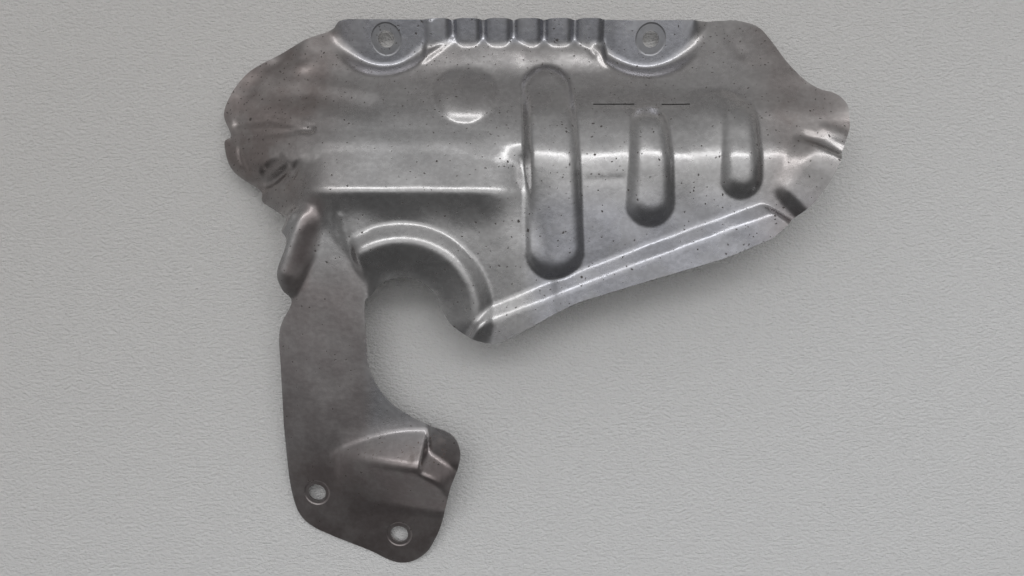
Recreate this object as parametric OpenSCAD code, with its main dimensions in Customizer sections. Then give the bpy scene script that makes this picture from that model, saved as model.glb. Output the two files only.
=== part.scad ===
// Turbocharger heat shield: one pressed sheet, lying as it comes to rest.
// Millimetres, +Z up. The sheet is a height surface of named pressed forms, cut by its outline,
// its mounting holes and two thin slits.

/* [Sheet] */
// Sheet thickness
sheet_t = 0.8; // [0.5:0.1:1.5]
// Level of the outer edge of the left end
left_edge_z = 6.5; // [4:0.5:12]
// Width over which the left end curls down
left_curl = 58; // [40:1:80]
// Width of the rolled edge of the left end
edge_roll_w = 6; // [2:0.5:8]
// Fall of the rolled edge
edge_roll = 0.6; // [0:0.05:0.9]

/* [Mounting flange] */
// Distance between the two flange holes
flange_hole_gap = 114; // [110:0.5:118]
// Diameter of the flange holes
flange_hole_d = 7.1; // [6:0.1:9]
// Rise of the flange per millimetre toward its edge
flange_rise = 0.364; // [0.2:0.01:0.5]
// Radius of the left pad
left_pad_r = 20.5; // [18:0.1:24]
// Radius of the right pad
right_pad_r = 22.5; // [20:0.1:26]
// Number of ribs between the pads
rib_count = 6; // [4:1:8]
// Distance from rib to rib
rib_pitch = 13.1; // [10:0.1:16]
// Rib height
rib_h = 2.4; // [0.5:0.1:3]

/* [Roof] */
// Level of the shelf at the flange
shelf_z = 4.2; // [3:0.1:8]
// Rise of the shelf
shelf_rise = 0.53; // [0.3:0.01:0.6]
// Extra rise of the steep band
band_rise = 0.22; // [0.1:0.01:0.5]
// Position of the crest across the part
crest_y = 52; // [48:0.1:58]

/* [Raised box] */
// Level of the box top edge
box_z = 31.9; // [28:0.1:36]
// Rise of the box plate
plate_rise = 0.345; // [0.2:0.005:0.5]
// Fall of the box front wall
wall_fall = 0.44; // [0.3:0.01:1.2]
// Right end of the box
box_right = -12.8; // [-18:0.1:-8]
// Left end of the box
box_left = -84.6; // [-90:0.1:-78]

/* [Beads] */
// Height of the long bead
long_bead_h = 3.4; // [2:0.1:6]
// Height of the middle bead
mid_bead_h = 4.4; // [2:0.1:6]
// Height of the bent bead
bent_bead_h = 4.4; // [2:0.1:6]
// Height of the round raised pad
round_pad_h = 2.6; // [1:0.1:4]

/* [Arch] */
// Radius of the arch opening
arch_r = 15.5; // [12:0.5:20]
// Rise of the arch bead toward its crest
arch_rise = 0.66; // [0.2:0.01:0.8]
// Fall from the crest to the opening's rim
arch_fall = 0.4; // [0.2:0.01:0.8]

/* [Lower lip] */
// Width of the upturned band
lip_w = 6.1; // [4:0.1:9]
// Rise of the band
lip_rise = 0.56; // [0.2:0.01:0.8]

/* [Arm and foot] */
// Level of the arm where it meets the foot
foot_z = 9.6; // [8:0.1:14]
// Rise of the arm toward the body
arm_rise = 0.155; // [0.05:0.005:0.3]
// Extra slope of the foot
foot_slope = 0.095; // [0:0.005:0.2]
// Height of the triangular stiffener at its right end
wedge_h = 11.5; // [4:0.5:14]
// Rise of the stiffener's upper face
wedge_face = 0.767; // [0.4:0.001:1]
// Diameter of the foot holes
foot_hole_d = 7.6; // [6:0.1:9]

/* [Right tab] */
// Height of the tab over the roof
tab_rise = 0.52; // [0.2:0.01:0.8]
// Width of the tab's flank
tab_flank = 7.2; // [4:0.1:10]

/* [Slits] */
// Width of the two thin slits
slit_w = 0.5; // [0.3:0.1:1]
// Position of the slits across the part
slit_y = 77.4; // [74:0.1:80]

/* [Hidden] */
// holes: x, y
flange_holes = [[-61.8, 108.6], [-61.8 + flange_hole_gap, 108.6]];
foot_holes = [[-91.4, -86.6], [-56.3, -105]];
left_pad = [-63, 116.8];
right_pad = [50.3, 118.3];
first_rib_x = -39.6;
arch_c = [-52.2, -9.8];
grey = [0.62, 0.62, 0.64];

// Small helpers
function clip01(t) = min(max(t, 0), 1);
// soft step from 0 to 1
function step(t) = let (c = clip01(t)) c*c*(3 - 2*c);
// bend of radius set by w: 0 before u = 0, u after it
function bend(u, w) = u < -w ? 0 : u > w ? u : (u + w)*(u + w)/(4*w);
// rounded maximum and minimum of two levels
function over(a, b, k) = let (h = max(k - abs(a - b), 0)/k) max(a, b) + h*h*k/4;
function under(a, b, k) = -over(-a, -b, k);
function mix(a, b, t) = a + (b - a)*t;
// how far along a to b the point lies, 0 to 1
function along(x, y, a, b) = let (d = b - a) clip01(((x - a.x)*d.x + (y - a.y)*d.y)/(d*d));
function gap(x, y, a, b) = let (t = along(x, y, a, b)) norm([x, y] - a - t*(b - a));
// signed distance from the line a to b, positive on its right
function side(x, y, a, b) = let (d = b - a) ((x - a.x)*d.y - (y - a.y)*d.x)/norm(d);
function path_gap(x, y, p) = min([for (i = [0 : len(p) - 2]) gap(x, y, p[i], p[i + 1])]);
// soft ridge or valley along a bent line
function fold(x, y, p, half, h) = h*step(1 - path_gap(x, y, p)/half);
// rounded bead section: 1 in the middle, 0 at the edge, flatter on top with a higher power
function crown(t, power) = (1 - clip01(t)^power)^1.4;
// straight bead with a rounded end at a and b
function bead(x, y, a, b, ra, rb, power, h) = h*crown(gap(x, y, a, b)/mix(ra, rb, along(x, y, a, b)), power);

// Flange with pads and ribs
function rib(x) = crown(abs(x - first_rib_x - rib_pitch*round(max(0, min(rib_count - 1,
    (x - first_rib_x)/rib_pitch))))/6.5, 4);
function flange_level(x, y) = 4.4 + flange_rise*(y - flange_holes[0].y)
  + rib(x)*(rib_h + 0.3*bend(110 - y, 3));
// 0 at the foot of the wall round the pads and the ribbed strip, growing outward
function flange_gap(x, y) = let (
    d1 = norm([x, y] - left_pad) - left_pad_r,
    d2 = norm([x, y] - right_pad) - right_pad_r,
    dx = max(left_pad.x - x, x - right_pad.x),
    dy = 108.6 - y,
    ds = dx > 0 && dy > 0 ? norm([dx, dy]) : max(dx, dy))
  under(under(d1, d2, 1) + 3, ds*1.1, 3);

// Roof: shelf, steep band, crest and lower plane
function roof(x, y) = let (
    m = step((4 - x)/16),
    low = mix(0.14, 0.23, step((14 - x)/18)))
  mix(shelf_z, shelf_z - 0.2, m) + mix(shelf_rise, shelf_rise + 0.03, m)*(100.3 - y)
  + mix(band_rise, 0, m)*bend(84 - y, 3) - mix(0.25, 0.1, m)*bend(73 - y, 3)
  - mix(0.12, 0.1, m)*bend(65.5 - y, 3) - mix(0.2, 0.18, m)*bend(crest_y + 5 - y, 3)
  - (0.18 + low)*bend(crest_y - y, 4)
  + mix(0.12, 0.25, m)*bend(y - 92, 4) + 0.13*bend(x - 62, 6)*step((y - 62)/30);
function left_curl_part(x) = sin(90*clip01((x + 133)/left_curl));

// Raised box with a sloping plate and a front wall
function box(x, y) = let (
    plate = box_z + plate_rise*(40.1 - y),
    back = box_z - plate_rise*22.2 - 0.8*(y - 62.3),
    wall = box_z + wall_fall*(y - 40.1),
    flat = 25.8 + 0.21*(y - 20.9),
    both = under(under(plate, over(wall, flat, 1.6), 1.2), back, 1.2),
    right = box_z - 0.34*(x - box_right + 2),
    left = box_z + 0.65*(x - box_left) - 0.6*bend(40 - y, 2))
  under(under(both, right, 5), left, 5);

// Lower lip and the crimped tab at the right
function lip(x, y) = let (
    u = under(side(x, y, [19.9, 9.1], [79, 30.7]), side(x, y, [-14.8, -5.2], [13.2, 6]), 1.5),
    end = side(x, y, [91, 36.5], [103.6, 28.3]),
    start = step(0.5 - side(x, y, [-16, -5], [-24, -17])/4))
  (lip_rise*bend(u, 0.8) - (lip_rise + 0.02)*bend(u - lip_w, 0.9))*step(end/3 + 0.5)*start;
function tab(x, y) = let (
    v = -side(x, y, [96.2, 43.9], [102.6, 54]),
    rise = tab_rise*(bend(-v, 0.7) - bend(-v - tab_flank, 1.2)),
    top1 = step(side(x, y, [109, 63.3], [118, 60.8])/4),
    top2 = step(side(x, y, [113, 62], [125.2, 55.6])/4),
    low = step(-side(x, y, [96.9, 38.6], [105.4, 30.5])/5.5))
  (x > 88 ? rise*top1*top2*low : 0)
  + fold(x, y, [[108.5, 64.3], [118, 60.8], [125.5, 55.6]], 3, -0.8)
  + fold(x, y, [[117.1, 65.3], [126, 63.3]], 3.6, 1.1);

// Beads
function bent_gap(x, y) = let (
    d = min(gap(x, y, [84.2, 69], [84.2, 46]), norm([x - 75.5, y - 76.1])),
    r = norm([x - 77, y - 69]))
  x > 75.5 && y > 69 ? min(d, abs(r - 7.2)) : d;
function beads(x, y) =
  bead(x, y, [-27.1, 83.4], [-27.1, 82.2], 13.7, 13.7, 4, round_pad_h)
  + bead(x, y, [7, 85.6], [9.7, 17], 11.2, 12.2, 5, long_bead_h)
  + bead(x, y, [48, 68.2], [48, 36.5], 8.2, 10.2, 2.4, mid_bead_h)
  + mix(bent_bead_h - 2, bent_bead_h, step((80 - y)/16))*step((x - 62)/18)*crown(bent_gap(x, y)/8.8, 2.6)
  + fold(x, y, [[23, 44.6], [35.5, 45]], 2.6, -0.22);

// Arch bead round the opening
function arch(x, y) = let (
    r = norm([x, y] - arch_c),
    on = step((y + 25.7)/14)*step(-side(x, y, [-76, 19], [-68.5, -4])/5))
  (arch_rise*bend(arch_r + 21.9 - r, 0.8) - (arch_rise + arch_fall)*bend(arch_r + 14.5 - r, 2.5)
  + 0.3*bend(arch_r + 3.5 - r, 3))*on;

// Arm, foot and its triangular stiffener
function arm(x, y) = let (
    base = foot_z + 0.08*(x - foot_holes[0].x) + arm_rise*(y + 69.7)
      - foot_slope*bend(-69.7 - y, 1.5) - 0.08*bend(-94.4 - x, 2),
    a = [-85, -68.9], b = [-44.7, -58.6], c = [-37.6, -73.2],
    t = min(max((x - a.x)/(c.x - a.x), 0), 1.1),
    face = wedge_face*side(x, y, a, b),
    fall = wedge_h*t*(1 - side(x, y, a, c)/22),
    end = over(4*(-41.2 - x), 2*side(x, y, [-41.6, -64.5], [-33.3, -70.5]), 1),
    corner = 5*step((x + 43.4)/3.2)*step((y + 82)/10) - 3,
    tent = over(under(under(face, fall, 2.4), under(end, 2.2*(-29.5 - x), 4), 1.4), corner, 1))
  base + over(tent, 0, 1.4) - 0.35*step(1 - abs(tent)/1.4);
// fanned folds beside the arm's upper left edge
function left_folds(x, y) = let (w = -side(x, y, [-101, -8.7], [-84.3, 21]))
  (-6.5*step(w/10) - 0.7*bend(w - 20, 2) + 1.4*step(1 - abs(w - 11.2)/2.6)
  + 1.5*step(1 - abs(w - 17.3)/3))*step((y + 14)/12);

// Creases of the crumpled left end, and its rolled edge
left_edge = [[-130.3, 63], [-130.7, 75.3], [-127.2, 85], [-120.7, 94.4], [-109.7, 102.1], [-98, 108]];
function left_creases(x, y) =
  fold(x, y, [[-119.5, 87], [-95, 81.5], [-67.5, 76.5]], 9, -0.9)
  + fold(x, y, [[-127.5, 70.5], [-106.5, 69], [-87, 64.5]], 5, -0.8)
  + fold(x, y, [[-114.1, 45], [-99.3, 51]], 3, -1)
  + fold(x, y, [[-112.3, 38.3], [-101, 43.4]], 3, -1)
  + fold(x, y, [[-119.3, 84.8], [-116.8, 91.6], [-110.6, 98.4], [-104.4, 99.7], [-96.9, 99.1]], 3.4, -0.6)
  - edge_roll*bend(edge_roll_w - path_gap(x, y, left_edge), 1.5)*step((-92 - x)/8)
  + 1.2*step(1.15 - norm([(x + 100.5)/12, (y - 95.5)/7.5]));

// The whole sheet
function body(x, y) = let (
    curled = left_edge_z + (roof(x, y) - left_edge_z)*left_curl_part(x),
    down = side(x, y, [-127, 53.2], [-93.7, 52]),
    lobe = curled - min(0.75*bend(down, 2.5), 9)*step((-78 - x)/14)
      - 3*step((x + 88)/8)*step((-20 - x)/14)*step((60 - y)/14))
  over(lobe, box(x, y), 3) + left_creases(x, y) + beads(x, y) + lip(x, y) + tab(x, y) + arch(x, y)
  + fold(x, y, [[84.5, 119.3], [86.5, 108.5], [90, 101.5]], 4.5, -0.5)
  + fold(x, y, [[-76.7, 30.3], [-74.1, 16.7]], 1.6, 0.45);
function level(x, y) = let (
    on_arm = step((-3.6 - y)/8)*max(step((-42.9 - x)/6), step((-34 - y)/6)),
    plate = under(arm(x, y) + left_folds(x, y), 55.4 - 0.8*y, 3),
    main = body(x, y),
    joined = mix(main, over(main, plate, 2.5), step((-66 - x)/6)))
  mix(flange_level(x, y), mix(joined, plate, on_arm), step(flange_gap(x, y)/8.5));
// lower face: the same distance from the upper one on slopes as on flats
function lower(x, y) = let (
    z = level(x, y),
    sx = level(x + 0.5, y) - z,
    sy = level(x, y + 0.5) - z)
  z - sheet_t*sqrt(1 + min(4*sx*sx + 4*sy*sy, 3));

// Outline, clockwise from the left pad's corner
outline = concat(
  [[-77.7, 116.3], [-46.9, 116.1], [-39.5, 116], [47, 116], [70.4, 116.1], [77, 117.3], [87, 117.8],
   [94.7, 116], [99.7, 112.5], [103.9, 105], [107.6, 97], [113, 88.5], [119, 83.5], [124.3, 81.6],
   [127.5, 79], [129.5, 75], [129.5, 67.2], [127, 61.1], [125, 56.5], [122.4, 51], [119.1, 44],
   [113.6, 36], [108.5, 31.3], [102, 26], [96.9, 21.5], [91.5, 19], [75, 12.3], [47.2, 4.1], [28.7, -1.6],
   [16.5, -5.8], [0.6, -14.3], [-8.8, -19.2], [-15, -21.4], [-23.2, -19.7], [-29.5, -16.1],
   [-33.5, -12.5]],
  [for (a = [15 : 15 : 150]) arch_c + arch_r*[cos(a), sin(a)]],
  [[-67.6, -3.5], [-68.1, -10], [-67.6, -28], [-66.1, -34], [-63.3, -40.3], [-57.6, -47], [-51, -51.6],
   [-43, -55.4], [-35.2, -58.1], [-31, -61.5], [-29.1, -67.5], [-30.2, -74], [-33.2, -82], [-35.4, -90.4],
   [-38.5, -101.7], [-43.5, -111.7], [-48.9, -116.6], [-54.7, -118.5], [-60.8, -117.5], [-69.9, -113],
   [-84.7, -107], [-94.6, -102.2], [-99.7, -97], [-102.1, -89.8], [-103.4, -79.3], [-104.4, -57.7],
   [-104.6, -33], [-104.3, -16.2], [-98.6, -4.5], [-101.9, 0.5], [-103.1, 8], [-98.7, 19.7],
   [-101.3, 24.8], [-100, 30], [-112, 37], [-113.2, 42], [-126, 50.7], [-130.3, 63], [-127.1, 66.2],
   [-130.7, 75.3], [-127.2, 85], [-120.7, 94.4], [-109.7, 102.1], [-102.4, 106.2], [-92, 110.5],
   [-84.9, 113.1]]);

// Grid of the sheet: finer across the ribs and along the flange
fine_x0 = first_rib_x - rib_pitch/2;
fine_x1 = fine_x0 + 6*rib_pitch;
fine_n = 36;
left_n = 19;
right_n = 21;
edge_x = 133;
gx = concat(
  [for (i = [0 : left_n - 1]) -edge_x + i*(edge_x + fine_x0)/left_n],
  [for (i = [0 : fine_n - 1]) fine_x0 + i*(fine_x1 - fine_x0)/fine_n],
  [for (i = [0 : right_n]) fine_x1 + i*(edge_x - fine_x1)/right_n]);
low_y = -121;
fine_y = 94;
top_y = 120;
low_n = 49;
top_n = 11;
gy = concat(
  [for (j = [0 : low_n - 1]) low_y + j*(fine_y - low_y)/low_n],
  [for (j = [0 : top_n]) fine_y + j*(top_y - fine_y)/top_n]);
nx = len(gx) - 1;
ny = len(gy) - 1;
count = (nx + 1)*(ny + 1);
function at_y(a, b, y) = let (c = min(max(y, min(a.y, b.y)), max(a.y, b.y)))
  abs(b.y - a.y) < 0.001 ? a.x : a.x + (b.x - a.x)*(c - a.y)/(b.y - a.y);
// x range the outline covers in each row of cells, with a margin
reach = [for (j = [0 : ny - 1]) let (
    y0 = gy[j] - 1,
    y1 = gy[j + 1] + 1,
    n = len(outline),
    xs = [for (i = [0 : n - 1]) let (a = outline[i], b = outline[(i + 1)%n])
      if (max(a.y, b.y) >= y0 && min(a.y, b.y) <= y1) each [at_y(a, b, y0), at_y(a, b, y1)]])
  len(xs) == 0 ? [0, 0] : [min(xs) - 1, max(xs) + 1]];
function kept(i, j) = i >= 0 && j >= 0 && i < nx && j < ny && gx[i + 1] > reach[j][0] && gx[i] < reach[j][1];
function id(i, j) = j*(nx + 1) + i;
points = concat(
  [for (j = [0 : ny]) for (i = [0 : nx]) [gx[i], gy[j], level(gx[i], gy[j])]],
  [for (j = [0 : ny]) for (i = [0 : nx]) [gx[i], gy[j], lower(gx[i], gy[j])]]);
// wall under one side of a cell, from point p to point q along its upper edge
function skirt(p, q) = [[p, q, count + q], [p, count + q, count + p]];
faces = [for (j = [0 : ny - 1]) for (i = [0 : nx - 1]) if (kept(i, j)) let (
    a = id(i, j), b = id(i + 1, j), c = id(i + 1, j + 1), d = id(i, j + 1))
  each concat(
    [[a, c, b], [a, d, c], [count + a, count + b, count + c], [count + a, count + c, count + d]],
    kept(i, j - 1) ? [] : skirt(a, b),
    kept(i + 1, j) ? [] : skirt(b, c),
    kept(i, j + 1) ? [] : skirt(c, d),
    kept(i - 1, j) ? [] : skirt(d, a))];
// lowest point of the sheet, at its edge or under the pads, brought to the ground
pads_y = [90, 116];
rest_z = min(concat(
  [for (p = outline) lower(p.x, p.y)],
  [for (y = gy) if (y > pads_y[0] && y < pads_y[1])
    for (x = gx) if (x > left_pad.x - 10 && x < right_pad.x + 20) lower(x, y)]));
mid_x = (min([for (p = outline) p.x]) + max([for (p = outline) p.x]))/2;
mid_y = (min([for (p = outline) p.y]) + max([for (p = outline) p.y]))/2;

module sheet() polyhedron(points, faces);
module blank() translate([0, 0, -20]) linear_extrude(80) polygon(outline);
module bore(p, lean_x, lean_y, d)
  translate([p.x, p.y, level(p.x, p.y)]) rotate([atan(lean_y), -atan(lean_x), 0])
  cylinder(h = 16, r = d/2, center = true, $fn = 64);
module slit(x0, x1) translate([x0, slit_y - slit_w/2, 5]) cube([x1 - x0, slit_w, 30]);

module heat_shield() {
  color(grey) translate([-mid_x, -mid_y, -rest_z]) difference() {
    intersection() {
      sheet();
      blank();
    }
    for (p = flange_holes) bore(p, 0, flange_rise, flange_hole_d);
    for (p = foot_holes) bore(p, 0.08, arm_rise + foot_slope, foot_hole_d);
    slit(26, 43.1);
    slit(54.3, 66);
  }
}

heat_shield();
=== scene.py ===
"""Turbocharger heat shield: one pressed steel sheet lying on a pale table, seen from straight above.

The sheet is a height surface of named pressed forms, cut by its outline, holes and slits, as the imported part
is. Its mesh is much finer, and some forms are redrawn to follow the real sheet more closely.
Lengths in the form functions are millimetres in the drawing frame; SHIFT brings them to the part's frame.
"""

import math

import bpy
import numpy as np
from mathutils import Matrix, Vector
from mathutils.geometry import delaunay_2d_cdt
from mathutils.kdtree import KDTree


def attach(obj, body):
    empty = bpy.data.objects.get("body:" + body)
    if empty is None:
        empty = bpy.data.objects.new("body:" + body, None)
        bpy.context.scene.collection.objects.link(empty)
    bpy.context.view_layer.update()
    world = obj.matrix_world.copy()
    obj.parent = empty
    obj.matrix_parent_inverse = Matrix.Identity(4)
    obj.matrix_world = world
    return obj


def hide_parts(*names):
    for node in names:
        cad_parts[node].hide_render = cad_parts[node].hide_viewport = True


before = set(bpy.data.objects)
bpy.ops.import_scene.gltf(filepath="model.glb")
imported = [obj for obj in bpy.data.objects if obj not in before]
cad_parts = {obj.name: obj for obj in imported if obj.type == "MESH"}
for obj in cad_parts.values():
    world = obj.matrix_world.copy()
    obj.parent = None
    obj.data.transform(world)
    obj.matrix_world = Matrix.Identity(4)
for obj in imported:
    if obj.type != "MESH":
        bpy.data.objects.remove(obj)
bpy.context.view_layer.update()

MM = 0.001
SHIFT = np.array([0.6, 0.35, 0.729])   # drawing frame to part frame, millimetres
THICKNESS = 0.8                        # sheet
HALF_SPAN = np.array([130.1, 118.15])  # half of the part's width and depth
MESH_STEP = 1.05                       # spacing of the sheet's mesh points
ROW_STEP = 0.866 * MESH_STEP           # spacing of the mesh rows, as in even triangles
RIM_CLEARANCE = 0.55 * MESH_STEP       # least distance of an inner mesh point from the rim
GRID_LOW, GRID_HIGH = (-130.5, -118.4), (129.5, 117.8)   # corners of the field of mesh points
HOLE_POINTS = 44                       # mesh points round a hole
SEED = 11

# Camera: straight above the middle of the picture
CAMERA_AT = (-7.0, 1.65, 345.7)        # millimetres, part frame
FOCAL_PIXELS = 790.0
PICTURE_WIDTH = 1024.0
SENSOR_WIDTH = 36.0


# Small helpers
def step(t):
    """Soft step from 0 to 1. step((a - x) / w) sets in at x = a and is full at w beyond it."""
    t = np.clip(t, 0, 1)
    return t * t * (3 - 2 * t)


def bend(u, w):
    """0 before u = 0 and u after it, with a rounded bend of size w."""
    return np.where(u < -w, 0, np.where(u > w, u, (u + w) ** 2 / (4 * w)))


def over(a, b, k):
    """The higher of two levels, with a fillet of size k where they meet."""
    h = np.maximum(k - np.abs(a - b), 0) / k
    return np.maximum(a, b) + h * h * k / 4


def under(a, b, k):
    """The lower of two levels, with a fillet of size k where they meet."""
    return -over(-a, -b, k)


def mix(a, b, t):
    return a + (b - a) * t


def along(x, y, a, b):
    """How far from a to b the point lies, 0 to 1."""
    dx, dy = b[0] - a[0], b[1] - a[1]
    return np.clip(((x - a[0]) * dx + (y - a[1]) * dy) / (dx * dx + dy * dy), 0, 1)


def gap(x, y, a, b):
    """Distance from the line that joins a and b."""
    t = along(x, y, a, b)
    return np.hypot(x - a[0] - t * (b[0] - a[0]), y - a[1] - t * (b[1] - a[1]))


def side(x, y, a, b):
    """Signed distance from the line a to b, positive on its right."""
    dx, dy = b[0] - a[0], b[1] - a[1]
    return ((x - a[0]) * dy - (y - a[1]) * dx) / math.hypot(dx, dy)


def path_gap(x, y, path):
    d = gap(x, y, path[0], path[1])
    for a, b in zip(path[1:], path[2:]):
        d = np.minimum(d, gap(x, y, a, b))
    return d


def fold(x, y, path, half, height):
    """Soft ridge, or valley where height is negative, along a bent line."""
    return height * step(1 - path_gap(x, y, path) / half)


def folds(x, y, marks):
    """The sum of several folds, each given as path, half width, height."""
    z = 0 * x
    for path, half, height in marks:
        z = z + fold(x, y, path, half, height)
    return z


def dimple(x, y, centre, half_x, half_y, height):
    """Soft oval swelling."""
    return height * step(1.15 - np.hypot((x - centre[0]) / half_x, (y - centre[1]) / half_y))


def bead(x, y, a, b, ra, rb, power, height):
    return height * crown(gap(x, y, a, b) / mix(ra, rb, along(x, y, a, b)), power)


def crown(t, power):
    """Rounded bead section: 1 in the middle, 0 at the edge, with a soft toe."""
    return (1 - np.clip(t, 0, 1) ** power) ** 1.4


# Flange with its two pads and six ribs
HOLE_LINE_Y = 108.6
FLANGE_HOLES = ((-61.8, HOLE_LINE_Y), (52.2, HOLE_LINE_Y))
FLANGE_Z, FLANGE_RISE = 4.4, 0.364     # level on the hole line, rise toward the edge
RIGHT_PAD_TILT = 0.05
FLANGE_HOLE_R = 3.55
FOOT_HOLES = ((-91.4, -86.6), (-56.3, -105.0))
FOOT_HOLE_R = 3.8
LEFT_PAD, LEFT_PAD_R = (-63.0, 116.8), 20.5
RIGHT_PAD, RIGHT_PAD_R = (50.3, 118.3), 22.5
FIRST_RIB_X, RIB_PITCH, RIB_COUNT, RIB_H = -39.6, 13.1, 6, 2.4
RIB_HALF_W = 6.5
GROOVE_DEPTH = 0.8                     # between two ribs
STRIP_LEFT, STRIP_RIGHT = -46.5, 33.5  # ends of the ribbed strip


def rib(x):
    nearest = np.round(np.clip((x - FIRST_RIB_X) / RIB_PITCH, 0, RIB_COUNT - 1))
    return crown(np.abs(x - FIRST_RIB_X - RIB_PITCH * nearest) / RIB_HALF_W, 4)


def flange_level(x, y):
    z = FLANGE_Z + FLANGE_RISE * (y - HOLE_LINE_Y) - RIGHT_PAD_TILT * (y - HOLE_LINE_Y) * step((x - 34) / 8)
    return z + ribbed(x) * (rib(x) * (RIB_H + GROOVE_DEPTH) - GROOVE_DEPTH)


def ribbed(x):
    """1 on the ribbed strip between the pads."""
    return step((x - STRIP_LEFT) / 3) * step((STRIP_RIGHT - x) / 3)


def flange_gap(x, y):
    """0 at the foot of the wall round the pads and the ribbed strip, growing outward."""
    d1 = np.hypot(x - LEFT_PAD[0], y - LEFT_PAD[1]) - LEFT_PAD_R
    d2 = np.hypot(x - RIGHT_PAD[0], y - RIGHT_PAD[1]) - RIGHT_PAD_R
    dx = np.maximum(LEFT_PAD[0] - x, x - RIGHT_PAD[0])
    dy = HOLE_LINE_Y - y
    strip = np.where((dx > 0) & (dy > 0), np.hypot(dx, dy), np.maximum(dx, dy))
    return under(under(d1, d2, 1) + 3, strip * 1.1, 3)


# Roof: shelf, steep band, crest and lower plane. Values come in pairs: right half, left half.
SHELF_Y = 100.3
SHELF_Z, SHELF_RISE = (4.2, 4.0), (0.53, 0.56)
CREST_Y = 52
ROOF_BENDS = (                         # position, change of slope toward the crest
    (84, (0.22, 0)),                   # shelf to steep band
    (73, (-0.25, -0.1)),
    (65.5, (-0.12, -0.1)),
    (CREST_Y + 5, (-0.2, -0.18)),
)
CREST_FALL, LOWER_FALL = 0.18, (0.14, 0.23)
SHELF_DISH = (0.12, 0.25)              # upturn of the shelf beside the flange wall
LEFT_EDGE_Z = 6.5                      # level of the left end's outer edge
CURL_START, CURL_WIDTH = -133, 58


def roof(x, y):
    left_half = step((1 - x) / 5)
    lower_fall = mix(*LOWER_FALL, step((14 - x) / 18))
    z = mix(*SHELF_Z, left_half) + mix(*SHELF_RISE, left_half) * (SHELF_Y - y)
    for bend_y, change in ROOF_BENDS:
        z = z + mix(*change, left_half) * bend(bend_y - y, 3)
    z = z - (CREST_FALL + lower_fall) * bend(CREST_Y - y, 4)
    z = z + mix(*SHELF_DISH, left_half) * bend(y - 92, 4)
    return z + 0.13 * bend(x - 62, 6) * step((y - 62) / 30)


def left_curl(x):
    """0 at the left end's outer edge, easing to 1 where its curl has ended."""
    return np.sin(np.clip((x - CURL_START) / CURL_WIDTH, 0, 1) * math.pi / 2)


# Raised box with a sloping plate and a front wall
BOX_Z, BOX_EDGE_Y = 31.9, 40.1         # the sharp edge between plate and wall
PLATE_RISE, PLATE_LENGTH, BACK_FALL = 0.345, 22.2, 0.8
WALL_FALL = 0.44
BOX_FLAT_Z, BOX_FLAT_Y, BOX_FLAT_RISE = 25.8, 20.9, 0.165   # strip between the wall and the arch
BOX_RIGHT, BOX_LEFT = -12.8, -84.6
RIGHT_FALL, LEFT_FALL, FLANK_FALL = 0.5, 0.65, 0.28


def box(x, y):
    plate = BOX_Z + PLATE_RISE * (BOX_EDGE_Y - y)
    back = BOX_Z - PLATE_RISE * PLATE_LENGTH - BACK_FALL * (y - 62.3)
    wall = BOX_Z + WALL_FALL * (y - BOX_EDGE_Y)
    flat = BOX_FLAT_Z + BOX_FLAT_RISE * (y - BOX_FLAT_Y)
    both = under(under(plate, over(wall, flat, 1.6), 1.2), back, 1.2)
    behind_edge = FLANK_FALL * bend(y - 40, 2)
    right = BOX_Z - RIGHT_FALL * (x - BOX_RIGHT + 1.5) - behind_edge
    left = BOX_Z + LEFT_FALL * (x - BOX_LEFT) - 0.6 * bend(40 - y, 2) - behind_edge
    return under(under(both, right, 5), left, 5)


# Lower lip and the crimped tab at the right
LIP_W, LIP_RISE = 6.1, 0.56
LIP_LEVEL_OUT = LIP_RISE - 0.04        # change of slope where the band turns level again
LIP_FOOT_RIGHT, LIP_FOOT_LEFT = ((19.9, 9.1), (79, 30.7)), ((-14.8, -5.2), (13.2, 6))
LIP_START, LIP_END = ((-16, -5), (-24, -17)), ((91, 36.5), (103.6, 28.3))
TAB_RISE, TAB_FOOT, TAB_W = 2.9, ((97.6, 44.4), (104.7, 60.1)), (6.3, 8.4)   # flank: rise, foot line, widths
TAB_TOPS = (((109, 63.3), (118, 60.8)), ((113, 62), (125.2, 55.6)))
TAB_BOTTOM = ((96.9, 38.6), (105.4, 30.5))
TAB_CREASES = (                        # path, half width, height
    (((111.5, 62.6), (118, 60.8), (125.5, 55.6)), 3, -0.6),
    (((118.6, 66), (126, 63.3)), 3.2, 0.4),
)


def lip(x, y):
    u = under(side(x, y, *LIP_FOOT_RIGHT), side(x, y, *LIP_FOOT_LEFT), 1.5)
    band = LIP_RISE * bend(u, 0.8) - LIP_LEVEL_OUT * bend(u - LIP_W, 0.9)
    return band * step(side(x, y, *LIP_END) / 3 + 0.5) * step(0.5 - side(x, y, *LIP_START) / 4)


def tab(x, y):
    across = side(x, y, *TAB_FOOT) / mix(*TAB_W, along(x, y, *TAB_FOOT))
    rise = TAB_RISE * (bend(across, 0.12) - bend(across - 1, 0.16))
    for top in TAB_TOPS:
        rise = rise * step(side(x, y, *top) / 4)
    z = np.where(x > 88, rise * step(-side(x, y, *TAB_BOTTOM) / 5.5), 0)
    return z + folds(x, y, TAB_CREASES)


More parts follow.
